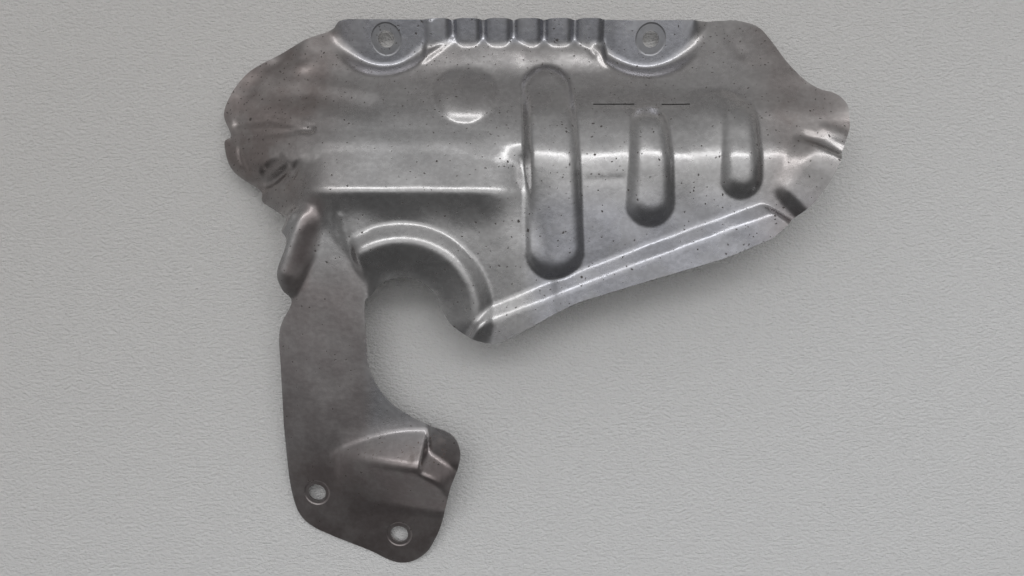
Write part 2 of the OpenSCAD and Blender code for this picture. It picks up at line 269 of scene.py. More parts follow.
# Beads: ends, half width at each end, power of the section
ROUND_PAD = ((-27.1, 83.4), (-27.1, 82.2), 13.7, 13.7, 4)
LONG_BEAD = ((7, 85.6), (9.7, 17), 11.2, 12.2, 5)
MID_BEAD = ((48, 68.2), (48, 36.5), 8.2, 10.2, 3.2)
LONG_BEAD_H, MID_BEAD_H, BENT_BEAD_H, ROUND_PAD_H = 3.4, 3.7, 3.7, 2.6
BENT_X, BENT_BOTTOM_Y, BENT_HALF_W = 84.2, 46, 8.8
BENT_TURN, BENT_TURN_R = (77, 69), 7.2                 # centre and radius of its turn
BENT_TAIL_Y = 76.1


def bent_bead(x, y):
    """Upright bead at the right whose top turns left and dies out in the roof."""
    turn_x, turn_y = BENT_TURN
    turn = np.hypot(np.maximum(x - turn_x, 0), np.maximum(y - turn_y, 0)) - BENT_TURN_R
    upright = crown(gap(x, y, (BENT_X, turn_y), (BENT_X, BENT_BOTTOM_Y)) / BENT_HALF_W, 3.0)
    turned = np.where(y > turn_y, crown(np.abs(turn) / BENT_HALF_W, 3.0), 0)
    upright = np.maximum(upright, turned * step((x - turn_x) / 3))
    tail = crown(np.maximum(y - BENT_TAIL_Y, 0) / BENT_HALF_W, 3.0) * step((y - 48) / 28)
    return upright, tail * step((x - 60) / 18) * step((84 - x) / 7)


def beads(x, y):
    z = bead(x, y, *ROUND_PAD, ROUND_PAD_H * step((99 - y) / 22 + 0.2))
    z = z + bead(x, y, *LONG_BEAD, LONG_BEAD_H)
    z = z + bead(x, y, *MID_BEAD, MID_BEAD_H * step((84 - y) / 22 + 0.12))
    upright, tail = bent_bead(x, y)
    z = z + mix(BENT_BEAD_H - 2, BENT_BEAD_H, step((80 - y) / 16)) * over(upright, tail * 0.5, 0.15)
    return z + fold(x, y, ((23, 44.6), (35.5, 45)), 2.6, -0.22)      # faint crease between two beads


# Arch bead round the opening
ARCH_C, ARCH_R = (-52.2, -9.8), 15.5                  # opening
ARCH_FOOT_R, ARCH_CREST_R, ARCH_RIM_R = ARCH_R + 21.9, ARCH_R + 14.5, ARCH_R + 3.5
ARCH_RISE, ARCH_FALL, ARCH_RIM_EASE = 0.66, 0.4, 0.3


def arch(x, y):
    r = np.hypot(x - ARCH_C[0], y - ARCH_C[1])
    on = step((y + 25.7) / 14) * step(-side(x, y, (-76, 19), (-68.5, -4)) / 5)
    z = ARCH_RISE * bend(ARCH_FOOT_R - r, 0.8) - (ARCH_RISE + ARCH_FALL) * bend(ARCH_CREST_R - r, 2.5)
    return (z + ARCH_RIM_EASE * bend(ARCH_RIM_R - r, 3)) * on


# Arm, foot and its triangular stiffener
FOOT_Z, FOOT_LINE_Y = 9.6, -69.7       # where the arm turns into the foot
ARM_RISE, FOOT_SLOPE, FOOT_SIDE_RISE, EDGE_TURN = 0.155, 0.095, 0.08, 0.08
WEDGE_FACE, WEDGE_SIDE = 0.72, 0.10    # slope of the stiffener's face, and of the sheet round it
WEDGE_A, WEDGE_C = (-85, -68.9), (-37.6, -73.2)        # ends of its lower edge
WEDGE_EDGE_FALL = 0.0907               # slant of that edge in plan


def wedge_top(x):
    """The stiffener's upper crease, a long easy curve."""
    return -58 - 10.3 * np.clip((-46 - x) / 37, 0, 1) ** 1.9


def arm(x, y):
    """Arm and foot, two easy planes, with the stiffener pressed up between them."""
    base = FOOT_Z + FOOT_SIDE_RISE * (x - FOOT_HOLES[0][0]) + ARM_RISE * (y - FOOT_LINE_Y)
    base = base - FOOT_SLOPE * bend(FOOT_LINE_Y - y, 11) - EDGE_TURN * bend(-94.4 - x, 2)
    lower_edge = WEDGE_A[1] - WEDGE_EDGE_FALL * (x - WEDGE_A[0])
    depth = wedge_top(x) - y
    here = step((x + 88) / 8)
    face = WEDGE_FACE * bend(depth, 1.0) + WEDGE_SIDE * here * (bend(depth + 6, 3) - bend(depth - 9, 3))
    height = (WEDGE_FACE + WEDGE_SIDE) * here * np.maximum(wedge_top(x) - lower_edge, 0)
    fall = height * (1 - (lower_edge - y) / 22)
    end = over(4 * (-42.6 - x), 1.15 * side(x, y, (-42.8, -64.9), (-34, -70.8)), 2)
    end = under(end, 1.1 * (-28.8 - x), 5)
    corner = 5 * step((x + 44.4) / 3.2) * step((y + 82) / 10) - 3
    tent = over(under(under(face, fall, 3.2), end, 2.2), corner, 1)
    foot_groove = 0.3 * step(1 - np.abs(tent) / 1.4) * step((y + 70) / 4)
    return base + here * (over(tent, 0, 1.4) - foot_groove)


# Fanned pleats beside the arm's upper left edge
ARM_EDGE = ((-101, -8.7), (-84.3, 21))
SMALL_PLEAT, SMALL_PLEAT_H, SMALL_PLEAT_HALF = ((-97, 31), (-101.5, 24)), 1.2, 3
BIG_PLEAT, BIG_PLEAT_H, BIG_PLEAT_HALF = ((-93.3, 31), (-95.1, 26.8), (-97.9, 17.5), (-100.4, 7.8)), 4.6, 12


def pleats(x, y):
    outward = -side(x, y, *ARM_EDGE)
    z = -0.45 * bend(outward - 10, 2)
    z = z + BIG_PLEAT_H * step((44 - y) / 20) * step(1 - path_gap(x, y, BIG_PLEAT) / BIG_PLEAT_HALF)
    z = z + fold(x, y, SMALL_PLEAT, SMALL_PLEAT_HALF, SMALL_PLEAT_H)
    return z * step((y + 14) / 12) * step(outward / 2 + 0.5)


# Creases of the curled left end: path, half width, height
LEFT_CREASES = (
    (((-119.5, 87), (-95, 81.5), (-67.5, 76.5)), 8, -1.0),           # the wide one at its upper side
    (((-124, 70.8), (-108.4, 71.5), (-90.3, 66.4)), 3, -0.8),        # from the notch inward
    (((-111, 50), (-102.6, 53.5)), 2.4, -1.1),                       # two short ones in the lower lobe
    (((-114, 42.6), (-106, 46.2), (-100, 51)), 2.6, -1.2),
    (((-112, 97.5), (-104.4, 99.7), (-96.9, 99.1)), 3.5, -0.45),     # two along the upper edge
    (((-119.3, 84.8), (-116.8, 91.6), (-111, 97.8)), 4, -0.2),
)


def left_creases(x, y):
    z = folds(x, y, LEFT_CREASES) + dimple(x, y, (-99, 97.5), 10, 6, 0.7)
    return z + dimple(x, y, (-91.5, 77.5), 9, 5, 0.45)


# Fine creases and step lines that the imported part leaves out: path, half width, height
FINE_MARKS = (
    (((-127.1, 65.1), (-102, 65.3), (-90.1, 66.4)), 2.2, -0.55),     # second line of the left end
    (((-122.6, 60.5), (-122, 56), (-120, 52)), 1.7, -0.6),
    (((-80.5, 30.3), (-78.6, 20.4)), 1.3, 0.35),                     # step lines beside the arm
    (((-46.3, 98.7), (-33.4, 108.6)), 2.2, 0.8),                     # creases of the first and last rib
    (((-44.5, 103.5), (-37, 109.5)), 1.5, -0.5),
    (((24, 111.9), (33, 97)), 2.2, 0.8),
    (((20.5, 109.5), (27.5, 101)), 1.5, -0.5),
    (((26, 76.6), (43.1, 76.6)), 1.1, -0.35),                        # pressed lip of the slits
    (((54.3, 76.6), (66, 76.6)), 1.1, -0.35),
    (((-108, 53), (-103, 55.5)), 2, -0.5),
    (((-101.5, 42), (-97, 47), (-95, 52)), 2.2, -0.6),
    (((-110, 33.5), (-104, 36.5), (-99, 36)), 1.8, 0.5),
    (((-106, 31), (-100.5, 33)), 1.6, -0.5),
)


WAVES = ((46, 0.10), (33, 0.08), (24, 0.055), (17, 0.035), (12, 0.02), (9, 0.012))   # length, height


def waviness(x, y):
    """Slight unevenness of pressed sheet, from a few long waves, two of each length."""
    rng = np.random.default_rng(SEED)
    z = 0 * x
    for length, height in WAVES:
        for _ in range(2):
            turn, phase = rng.uniform(0, 2 * math.pi, 2)
            run = x * math.cos(turn) + y * math.sin(turn)
            z = z + height * np.sin(2 * math.pi * run / length + phase)
    return z


# The whole sheet
LOBE_LINE = ((-127, 53.2), (-93.7, 52))                # below it the left end's lower lobe turns down
LOBE_FALL, LOBE_DROP = 0.75, 9
WALL_WIDTH = 8.5                                       # of the wall round the pads
CORNER_CREASE = ((84.5, 119.3), (86.5, 108.5), (90, 101.5))
ARM_STEP_LINE = ((-76.7, 30.3), (-74.1, 16.7))


def body_level(x, y):
    """Roof with its curled left end, lowered where other forms stand out of it."""
    z = LEFT_EDGE_Z + (roof(x, y) - LEFT_EDGE_Z) * left_curl(x)
    z = z - np.minimum(LOBE_FALL * bend(side(x, y, *LOBE_LINE), 2.5), LOBE_DROP) * step((-78 - x) / 14)
    # under the box
    z = z - 3 * step((x + 88) / 8) * step((-20 - x) / 14) * step((60 - y) / 14)
    # between the box and the long bead
    z = z - 0.34 * bend(x + 13, 2) * step((0.5 - x) / 3.5) * step((61 - y) / 10) * step((y + 5) / 15)
    # droop of the left end's upper edge
    return z - 0.28 * bend(y - 86, 3) * step((-95 - x) / 15)


def on_arm(x, y):
    """1 where the sheet is arm and foot only."""
    top = mix(-3.6, 2, step((-62 - x) / 6))
    return step((top - y) / 8) * np.maximum(step((-42.9 - x) / 6), step((-34 - y) / 6))


def level(x, y):
    """Level of the outer face."""
    main = over(body_level(x, y), box(x, y), 1.4)
    for form in (left_creases, beads, lip, tab, arch):
        main = main + form(x, y)
    main = main + fold(x, y, CORNER_CREASE, 4.5, -0.5) + fold(x, y, ARM_STEP_LINE, 1.6, 0.45)
    main = main + folds(x, y, FINE_MARKS)
    arm_plate = under(arm(x, y) + pleats(x, y), 79 - 1.5 * y, 1.6)
    joined = mix(main, over(main, arm_plate, 2), step((-63.5 - x) / 4))
    rest = mix(joined, arm_plate, on_arm(x, y))
    # the flange, and at the ribs the sheet below it lifted to meet the grooves
    off_flange = step(flange_gap(x, y) / WALL_WIDTH)
    flange = flange_level(x, y)
    lift = mix(2.2, 0.9, step((4 - x) / 16)) * step((y - 92) / 13)
    strip = over(flange, rest + lift, 0.8)
    z = mix(mix(flange, rest, off_flange), strip, ribbed(x))
    return z + waviness(x, y) * off_flange * (0.25 + 0.6 * step((y + 5) / 25))


# Outline, clockwise from the left pad's corner
OUTLINE = (
    [(-77.7, 116.3), (-46.9, 116.1), (-39.5, 116), (47, 116), (70.4, 116.1), (77, 117.3), (87, 117.8),
     (94.7, 116), (99.7, 112.5), (103.9, 105), (107.6, 97), (113, 88.5), (119, 83.5), (124.3, 81.6),
     (127.5, 79), (129.5, 75), (129.5, 67.2), (127, 61.1), (125, 56.5), (122.4, 51), (119.1, 44),
     (113.6, 36), (108.5, 31.3), (102, 26), (96.9, 21.5), (91.5, 19), (75, 12.3), (47.2, 4.1), (28.7, -1.6),
     (16.5, -5.8), (0.6, -14.3), (-8.8, -19.2), (-15, -21.4), (-23.2, -19.7), (-29.5, -16.1),
     (-33.5, -12.5)]
    + [(ARCH_C[0] + ARCH_R * math.cos(math.radians(a)),
        ARCH_C[1] + ARCH_R * math.sin(math.radians(a))) for a in range(15, 151, 15)]
    + [(-67.6, -3.5), (-68.1, -10), (-67.6, -28), (-66.1, -34), (-63.3, -40.3), (-57.6, -47), (-51, -51.6),
       (-43, -55.4), (-35.2, -58.1), (-31, -61.5), (-29.1, -67.5), (-30.2, -74), (-33.2, -82), (-35.4, -90.4),
       (-38.5, -101.7), (-43.5, -111.7), (-48.9, -116.6), (-54.7, -118.5), (-60.8, -117.5), (-69.9, -113),
       (-84.7, -107), (-94.6, -102.2), (-99.7, -97), (-102.1, -89.8), (-103.4, -79.3), (-104.4, -57.7),
       (-104.6, -33), (-104.3, -16.2), (-98.6, -4.5), (-101.9, 0.5), (-103.1, 8), (-98.7, 19.7),
       (-101.3, 24.8), (-100, 30), (-112, 37), (-113.2, 42), (-126, 50.7), (-130.3, 63), (-127.1, 66.2),
       (-130.7, 75.3), (-127.2, 85), (-120.7, 94.4), (-109.7, 102.1), (-102.4, 106.2), (-92, 110.5),
       (-84.9, 113.1)])
SLITS = ((26, 43.1), (54.3, 66))
SLIT_Y, SLIT_W = 77.4, 0.5
LONGEST_CURVED = 20                    # stretches of the outline longer than this are straight


def rounded(points):
    """The outline with its short stretches curved and its long ones straight, as points."""
    p = np.array(points, float)
    before, after, after2 = np.roll(p, 1, 0), np.roll(p, -1, 0), np.roll(p, -2, 0)
    out = []
    for p0, p1, p2, p3 in zip(before, p, after, after2):
        length = np.hypot(*(p2 - p1))
        n = max(1, round(length / MESH_STEP))
        longest = max(np.hypot(*(p1 - p0)), np.hypot(*(p3 - p2)))
        curved = length < min(2.5 * longest, LONGEST_CURVED)
        for k in range(n):
            t = k / n
            if curved:
                out.append(0.5 * (2 * p1 + (p2 - p0) * t + (2 * p0 - 5 * p1 + 4 * p2 - p3) * t ** 2
                                  + (3 * p1 - p0 - 3 * p2 + p3) * t ** 3))
            else:
                out.append(p1 + (p2 - p1) * t)
    out = np.array(out)
    return np.clip(out, p.min(0), p.max(0))


def hole(centre, radius, lean_x, lean_y):
    """A round hole square to a leaning plane, as it shows from above."""
    normal = Vector((-lean_x, -lean_y, 1)).normalized()
    u = Vector((0, 1, 0)).cross(normal).normalized()
    v = normal.cross(u)
    angles = [2 * math.pi * k / HOLE_POINTS for k in range(HOLE_POINTS)]
    return np.array([(centre[0] + radius * (u.x * math.cos(a) + v.x * math.sin(a)),
                      centre[1] + radius * (u.y * math.cos(a) + v.y * math.sin(a))) for a in angles])


def slit(x0, x1):
    """The rim of a slit, as a loop of points."""
    n = round((x1 - x0) / MESH_STEP)
    xs = [x0 + (x1 - x0) * k / n for k in range(n + 1)]
    near_side = [(x, SLIT_Y - SLIT_W / 2) for x in xs]
    return np.array(near_side + [(x, SLIT_Y + SLIT_W / 2) for x in reversed(xs)])


def inside(px, py, loop):
    """Which of the points lie within a closed loop."""
    hits = np.zeros(px.shape, bool)
    ax, ay = loop[:, 0], loop[:, 1]
    bx, by = np.roll(ax, -1), np.roll(ay, -1)
    for x0, y0, x1, y1 in zip(ax, ay, bx, by):
        if y0 != y1:
            cross = ((y0 > py) != (y1 > py)) & (px < (x1 - x0) * (py - y0) / (y1 - y0) + x0)
            hits ^= cross
    return hits


def sheet_plan():
    """Points and triangles of the sheet in plan."""
    loops = [rounded(OUTLINE)]
    loops += [hole(c, FLANGE_HOLE_R, 0, FLANGE_RISE) for c in FLANGE_HOLES]
    loops += [hole(c, FOOT_HOLE_R, FOOT_SIDE_RISE, ARM_RISE + FOOT_SLOPE) for c in FOOT_HOLES]
    loops += [slit(*s) for s in SLITS]
    rim = np.concatenate(loops)
    edges, start = [], 0
    for loop in loops:
        n = len(loop)
        edges += [(start + k, start + (k + 1) % n) for k in range(n)]
        start += n
    near = KDTree(2 * len(rim))
    for k, (a, b) in enumerate(edges):
        near.insert((*rim[a], 0), 2 * k)
        near.insert((*((rim[a] + rim[b]) / 2), 0), 2 * k + 1)
    near.balance()
    grid = []
    for k, y in enumerate(np.arange(GRID_LOW[1], GRID_HIGH[1], ROW_STEP)):
        xs = np.arange(GRID_LOW[0] + (k % 2) * MESH_STEP / 2, GRID_HIGH[0], MESH_STEP)
        grid.append(np.stack([xs, np.full(xs.shape, y)], 1))
    grid = np.concatenate(grid)
    keep = inside(grid[:, 0], grid[:, 1], loops[0])
    for loop in loops[1:]:
        keep &= ~inside(grid[:, 0], grid[:, 1], loop)
    grid = grid[keep]
    clear = [near.find((x, y, 0))[2] > RIM_CLEARANCE for x, y in grid]
    grid = grid[np.array(clear)]
    points = np.concatenate([rim, grid])
    result = delaunay_2d_cdt([Vector(p) for p in points], edges, [], 0, 1e-5, False)
    plan = np.array([tuple(v) for v in result[0]])
    triangles = np.array(result[2])
    middle = plan[triangles].mean(1)
    keep = inside(middle[:, 0], middle[:, 1], loops[0])
    for loop in loops[1:]:
        keep &= ~inside(middle[:, 0], middle[:, 1], loop)
    return plan, triangles[keep], loops


def face_normals(x, y, e=0.04):
    """Directions square to the outer face, from its level a little to each side."""
    slope_x = (level(x + e, y) - level(x - e, y)) / (2 * e)
    slope_y = (level(x, y + e) - level(x, y - e)) / (2 * e)
    normal = np.stack([-slope_x, -slope_y, np.ones_like(slope_x)], 1)
    return normal / np.linalg.norm(normal, axis=1)[:, None]


def build_sheet():
    """The sheet as one closed mesh: outer face, inner face and rim."""
    plan, triangles, loops = sheet_plan()
    x, y = plan[:, 0], plan[:, 1]
    top = np.stack([x, y, level(x, y)], 1)
    bottom = top - THICKNESS * face_normals(x, y)
    n = len(top)
    # rim edges belong to one triangle only
    pairs = np.concatenate([triangles[:, [0, 1]], triangles[:, [1, 2]], triangles[:, [2, 0]]])
    seen = {}
    for a, b in pairs:
        key = (min(a, b), max(a, b))
        seen[key] = seen.get(key, 0) + 1
    border = [(a, b) for a, b in pairs if seen[(min(a, b), max(a, b))] == 1]
    faces = [tuple(t) for t in triangles]
    faces += [(a + n, c + n, b + n) for a, b, c in triangles]
    faces += [(a, a + n, b + n, b) for a, b in border]
    verts = np.concatenate([top, bottom]) + SHIFT
    verts[:, :2] = np.clip(verts[:, :2], -HALF_SPAN, HALF_SPAN)
    mesh = bpy.data.meshes.new("heat_shield_sheet")
    mesh.from_pydata((verts * MM).tolist(), [], [tuple(int(i) for i in f) for f in faces])
    mesh.polygons.foreach_set("use_smooth", [True] * len(faces))
    sharp_pairs = {(min(a, b), max(a, b)) for a, b in border}
    sharp_pairs |= {(a + n, b + n) for a, b in sharp_pairs}
    ends = np.zeros(len(mesh.edges) * 2, int)
    mesh.edges.foreach_get("vertices", ends)
    ends = np.sort(ends.reshape(-1, 2), 1)
    sharp = mesh.attributes.new("sharp_edge", "BOOLEAN", "EDGE")
    sharp.data.foreach_set("value", [(a, b) in sharp_pairs for a, b in map(tuple, ends)])
    # masks for the finish, one value a point
    for name, values in finish_masks(x, y, loops).items():
        attribute = mesh.attributes.new(name, "FLOAT", "POINT")
        attribute.data.foreach_set("value", np.concatenate([values, values]).astype(np.float32))
    mesh.update()
    piece = bpy.data.objects.new("heat_shield_sheet", mesh)
    bpy.context.scene.collection.objects.link(piece)
    return piece


HIGHLIGHT_TAB_LINE = ((109, 39), (123, 57))                    # the crimped tab is left without the brownish tint so that it shows lighter: a painted highlight
# line of the pleats' dark face, darkened as painted shade
SHADED_PLEAT_LINE = ((-87, 34), (-95.5, 5))
# strengths of the shelf tint that is partly painted shade, of the painted shade on the arm and the pleats, and
# of the painted tab highlight
SHELF_BROWN_SHADE, ARM_PAINTED_SHADE, PLEAT_PAINTED_SHADE, TAB_PAINTED_HIGHLIGHT = 0.35, 0.72, 0.9, 0.65
WORN_RIM_W = 1.2


def finish_masks(x, y, loops):
    """Brownish heat tint that is partly painted shade, a bluish tint that is a painted reflection of the
    bluish room, a dark foot tint that is painted shade on the arm and the pleats, a painted highlight on the
    crimped tab, rust and worn rim, from where each form lies.
    """
    # brownish heat tint on the ends and the shelf, partly real and partly painted shade that darkens them
    left = step((-62 - x) / 44) * step((y - 24) / 20)
    # less tint on the crimped tab, a painted highlight
    right = step((x - 82) / 34) * (1 - TAB_PAINTED_HIGHLIGHT * step(1.3 - gap(x, y, *HIGHLIGHT_TAB_LINE) / 9))
    shelf = step((y - 60) / 26) * step(flange_gap(x, y) / 6)
    # the foot is tinted darker, and the arm is darkened with it as painted shade
    foot = np.maximum(step((-46 - y) / 30), ARM_PAINTED_SHADE * step((22 - y) / 25) * step((-62 - x) / 10))
    # painted shade on the pleats' dark face
    pleat_shade = step(1.3 - gap(x, y, *SHADED_PLEAT_LINE) / 5)
    # bluish tint on the lower sheet and the pads: a painted reflection of the bluish room
    blue_reflection = step((46 - y) / 20) * step((x + 6) / 14) + 0.6 * step((-10 - y) / 20) * (1 - foot)
    wedge = step((wedge_top(x) - y) / 3) * step(-side(x, y, WEDGE_A, WEDGE_C) / 3 + 0.4)
    rim_points = np.concatenate(loops)
    tree = KDTree(len(rim_points))
    for k, p in enumerate(rim_points):
        tree.insert((p[0], p[1], 0), k)
    tree.balance()
    to_rim = np.array([tree.find((a, b, 0))[2] for a, b in zip(x, y)])
    return {
        "brown_tint_and_shade": np.clip(left + right + SHELF_BROWN_SHADE * shelf, 0, 1),
        "blue_reflection": np.clip(blue_reflection + step(1 - flange_gap(x, y) / 4), 0, 1),
        "foot": np.clip(foot + PLEAT_PAINTED_SHADE * pleat_shade, 0, 1),
        "rust": wedge * step((x + 80) / 20) * step((-30 - x) / 6),
        "rim": step(1 - to_rim / WORN_RIM_W),
    }


# Shader groups
def new_group(name, inputs, outputs):
    tree = bpy.data.node_groups.new(name, "ShaderNodeTree")
    for label, kind, value in inputs:
        socket = tree.interface.new_socket(label, in_out="INPUT", socket_type=kind)
        if value is not None:
            socket.default_value = value
    for label, kind in outputs:
        tree.interface.new_socket(label, in_out="OUTPUT", socket_type=kind)
    return tree, tree.nodes.new("NodeGroupInput"), tree.nodes.new("NodeGroupOutput")


def math_node(tree, operation, *values, clamp=False):
    node = tree.nodes.new("ShaderNodeMath")
    node.operation = operation
    node.use_clamp = clamp
    for socket, value in zip(node.inputs, values):
        if isinstance(value, (int, float)):
            socket.default_value = value
        else:
            tree.links.new(value, socket)
    return node.outputs[0]


def vector_node(tree, operation, *values):
    node = tree.nodes.new("ShaderNodeVectorMath")
    node.operation = operation
    for socket, value in zip(node.inputs, values):
        if isinstance(value, tuple):
            socket.default_value = value
        else:
            tree.links.new(value, socket)
    return node.outputs["Value" if operation == "LENGTH" else "Vector"]


def bump_node(tree, height, strength, distance, normal=None):
    node = tree.nodes.new("ShaderNodeBump")
    node.inputs["Strength"].default_value = strength
    node.inputs["Distance"].default_value = distance
    tree.links.new(height, node.inputs["Height"])
    if normal:
        tree.links.new(normal, node.inputs["Normal"])
    return node.outputs["Normal"]


def ramp_node(tree, value, low, high, to_low=0.0, to_high=1.0):
    """Soft ramp from to_low, where value is low, to to_high, where it is high."""
    node = tree.nodes.new("ShaderNodeMapRange")
    node.interpolation_type = "SMOOTHSTEP"
    ends = {"Value": value, "From Min": low, "From Max": high, "To Min": to_low, "To Max": to_high}
    for name, v in ends.items():
        if isinstance(v, (int, float)):
            node.inputs[name].default_value = v
        else:
            tree.links.new(v, node.inputs[name])
    return node.outputs["Result"]


def noise_node(tree, vector, scale, detail=2.0, roughness=0.5):
    node = tree.nodes.new("ShaderNodeTexNoise")
    node.inputs["Detail"].default_value = detail
    node.inputs["Roughness"].default_value = roughness
    if isinstance(scale, (int, float)):
        node.inputs["Scale"].default_value = scale
    else:
        tree.links.new(scale, node.inputs["Scale"])
    tree.links.new(vector, node.inputs["Vector"])
    return node.outputs["Fac"]


def cloud_group():
    """Soft cloudy mask, as in heat tint and handling stains."""
    tree, given, out = new_group(
        "cloudy_mask",
        [("Vector", "NodeSocketVector", None), ("Scale", "NodeSocketFloat", 40.0),
         ("Low", "NodeSocketFloat", 0.4), ("High", "NodeSocketFloat", 0.6)],
        [("Mask", "NodeSocketFloat")])
    noise = noise_node(tree, given.outputs["Vector"], given.outputs["Scale"], 4.0, 0.55)
    tree.links.new(ramp_node(tree, noise, given.outputs["Low"], given.outputs["High"]), out.inputs["Mask"])
    return tree


def speck_group():
    """Small round specks of random size, denser where Density is high."""
    tree, given, out = new_group(
        "speck_mask",
        [("Vector", "NodeSocketVector", None), ("Scale", "NodeSocketFloat", 300.0),
         ("Size", "NodeSocketFloat", 0.2), ("Density", "NodeSocketFloat", 0.5)],
        [("Mask", "NodeSocketFloat")])
    cells = tree.nodes.new("ShaderNodeTexVoronoi")
    tree.links.new(given.outputs["Vector"], cells.inputs["Vector"])
    tree.links.new(given.outputs["Scale"], cells.inputs["Scale"])
    cells.inputs["Randomness"].default_value = 1.0
    chance = tree.nodes.new("ShaderNodeSeparateColor")
    tree.links.new(cells.outputs["Color"], chance.inputs["Color"])
    shown = math_node(tree, "LESS_THAN", chance.outputs["Red"], given.outputs["Density"])
    spread = math_node(tree, "MULTIPLY_ADD", chance.outputs["Green"], 0.8, 0.35)
    size = math_node(tree, "MULTIPLY", given.outputs["Size"], spread)
    edge = math_node(tree, "SUBTRACT", size, cells.outputs["Distance"])
    soft = math_node(tree, "DIVIDE", edge, size)
    dot = ramp_node(tree, soft, 0.0, 0.5)
    tree.links.new(math_node(tree, "MULTIPLY", dot, shown), out.inputs["Mask"])
    return tree


def scratch_group():
    """Thin straight scratches in one direction set by Turn."""
    tree, given, out = new_group(
        "scratch_mask",
        [("Vector", "NodeSocketVector", None), ("Turn", "NodeSocketFloat", 0.5),
         ("Scale", "NodeSocketFloat", 60.0), ("Amount", "NodeSocketFloat", 0.5)],
        [("Mask", "NodeSocketFloat")])
    turn = tree.nodes.new("ShaderNodeVectorRotate")
    turn.rotation_type = "Z_AXIS"
    tree.links.new(given.outputs["Vector"], turn.inputs["Vector"])
    tree.links.new(given.outputs["Turn"], turn.inputs["Angle"])
    stretch = tree.nodes.new("ShaderNodeMapping")
    stretch.inputs["Scale"].default_value = (0.035, 1.6, 1.0)
    tree.links.new(turn.outputs["Vector"], stretch.inputs["Vector"])
    fine_scale = math_node(tree, "MULTIPLY", given.outputs["Scale"], 20.0)
    fine = noise_node(tree, stretch.outputs["Vector"], fine_scale, 1.0)
    lines = ramp_node(tree, fine, 0.70, 0.76)
    patch = noise_node(tree, given.outputs["Vector"], given.outputs["Scale"], 2.0)
    here = ramp_node(tree, patch, 0.50, 0.62)
    both = math_node(tree, "MULTIPLY", lines, here)
    tree.links.new(math_node(tree, "MULTIPLY", both, given.outputs["Amount"]), out.inputs["Mask"])
    return tree


def ring_group():
    """Ring round a centre in plan, such as the mark a washer leaves."""
    tree, given, out = new_group(
        "ring_mask",
        [("Vector", "NodeSocketVector", None), ("Centre", "NodeSocketVector", (0.0, 0.0, 0.0)),
         ("Inner", "NodeSocketFloat", 0.004), ("Outer", "NodeSocketFloat", 0.007),
         ("Soft", "NodeSocketFloat", 0.0003)],
        [("Mask", "NodeSocketFloat")])
    away = vector_node(tree, "SUBTRACT", given.outputs["Vector"], given.outputs["Centre"])
    r = vector_node(tree, "LENGTH", vector_node(tree, "MULTIPLY", away, (1, 1, 0)))
    grow = math_node(tree, "ADD", given.outputs["Outer"], given.outputs["Soft"])
    far = ramp_node(tree, r, given.outputs["Outer"], grow, 1.0, 0.0)
    shrink = math_node(tree, "SUBTRACT", given.outputs["Inner"], given.outputs["Soft"])
    near = ramp_node(tree, r, shrink, given.outputs["Inner"])
    tree.links.new(math_node(tree, "MULTIPLY", far, near), out.inputs["Mask"])
    return tree


def use_group(tree, group, **values):
    node = tree.nodes.new("ShaderNodeGroup")
    node.node_tree = group
    for label, value in values.items():
        if isinstance(value, (int, float, tuple)):
            node.inputs[label].default_value = value
        else:
            tree.links.new(value, node.inputs[label])
    return node.outputs[0]


def mix_colour(tree, factor, a, b):
    node = tree.nodes.new("ShaderNodeMix")
    node.data_type = "RGBA"
    for socket, value in ((node.inputs[0], factor), (node.inputs[6], a), (node.inputs[7], b)):
        if isinstance(value, tuple):
            socket.default_value = (*value, 1.0)
        elif isinstance(value, (int, float)):
            socket.default_value = value
        else:
            tree.links.new(value, socket)
    return node.outputs[2]


CLOUDS, SPECKS, SCRATCHES, RINGS = cloud_group(), speck_group(), scratch_group(), ring_group()

# Colours of the steel and of what lies on it
STEEL = (0.49, 0.485, 0.487)
# brownish heat tint, also used as painted shade
BROWN_TINT_AND_SHADE = (0.302, 0.264, 0.254)
# bluish tint: a painted reflection of the bluish room
BLUE_REFLECTION_TINT = (0.445, 0.45, 0.487)
DARK_SPOT = (0.055, 0.045, 0.042)
RUST = (0.085, 0.05, 0.035)
PALE_WORN = (0.52, 0.515, 0.51)
# darker foot tint, also painted shade on the arm and the pleats
FOOT_TINT_AND_SHADE = (0.33, 0.29, 0.287)
WASHER_GREY = (0.26, 0.26, 0.265)
# Rings round the holes, metres
WASHER_MARK = {"Inner": 0.0036, "Outer": 0.0066, "Soft": 0.0003}
FLANGE_SEAT = {"Inner": 0.0001, "Outer": 0.0060, "Soft": 0.0007}
FOOT_DENT = {"Inner": 0.0001, "Outer": 0.0049, "Soft": 0.0009}
FLANGE_SEAT_DEPTH = 0.5                # share of the foot dents' depth
SEAT_DEPTH, GRAIN_DEPTH = 0.00035, 0.00025


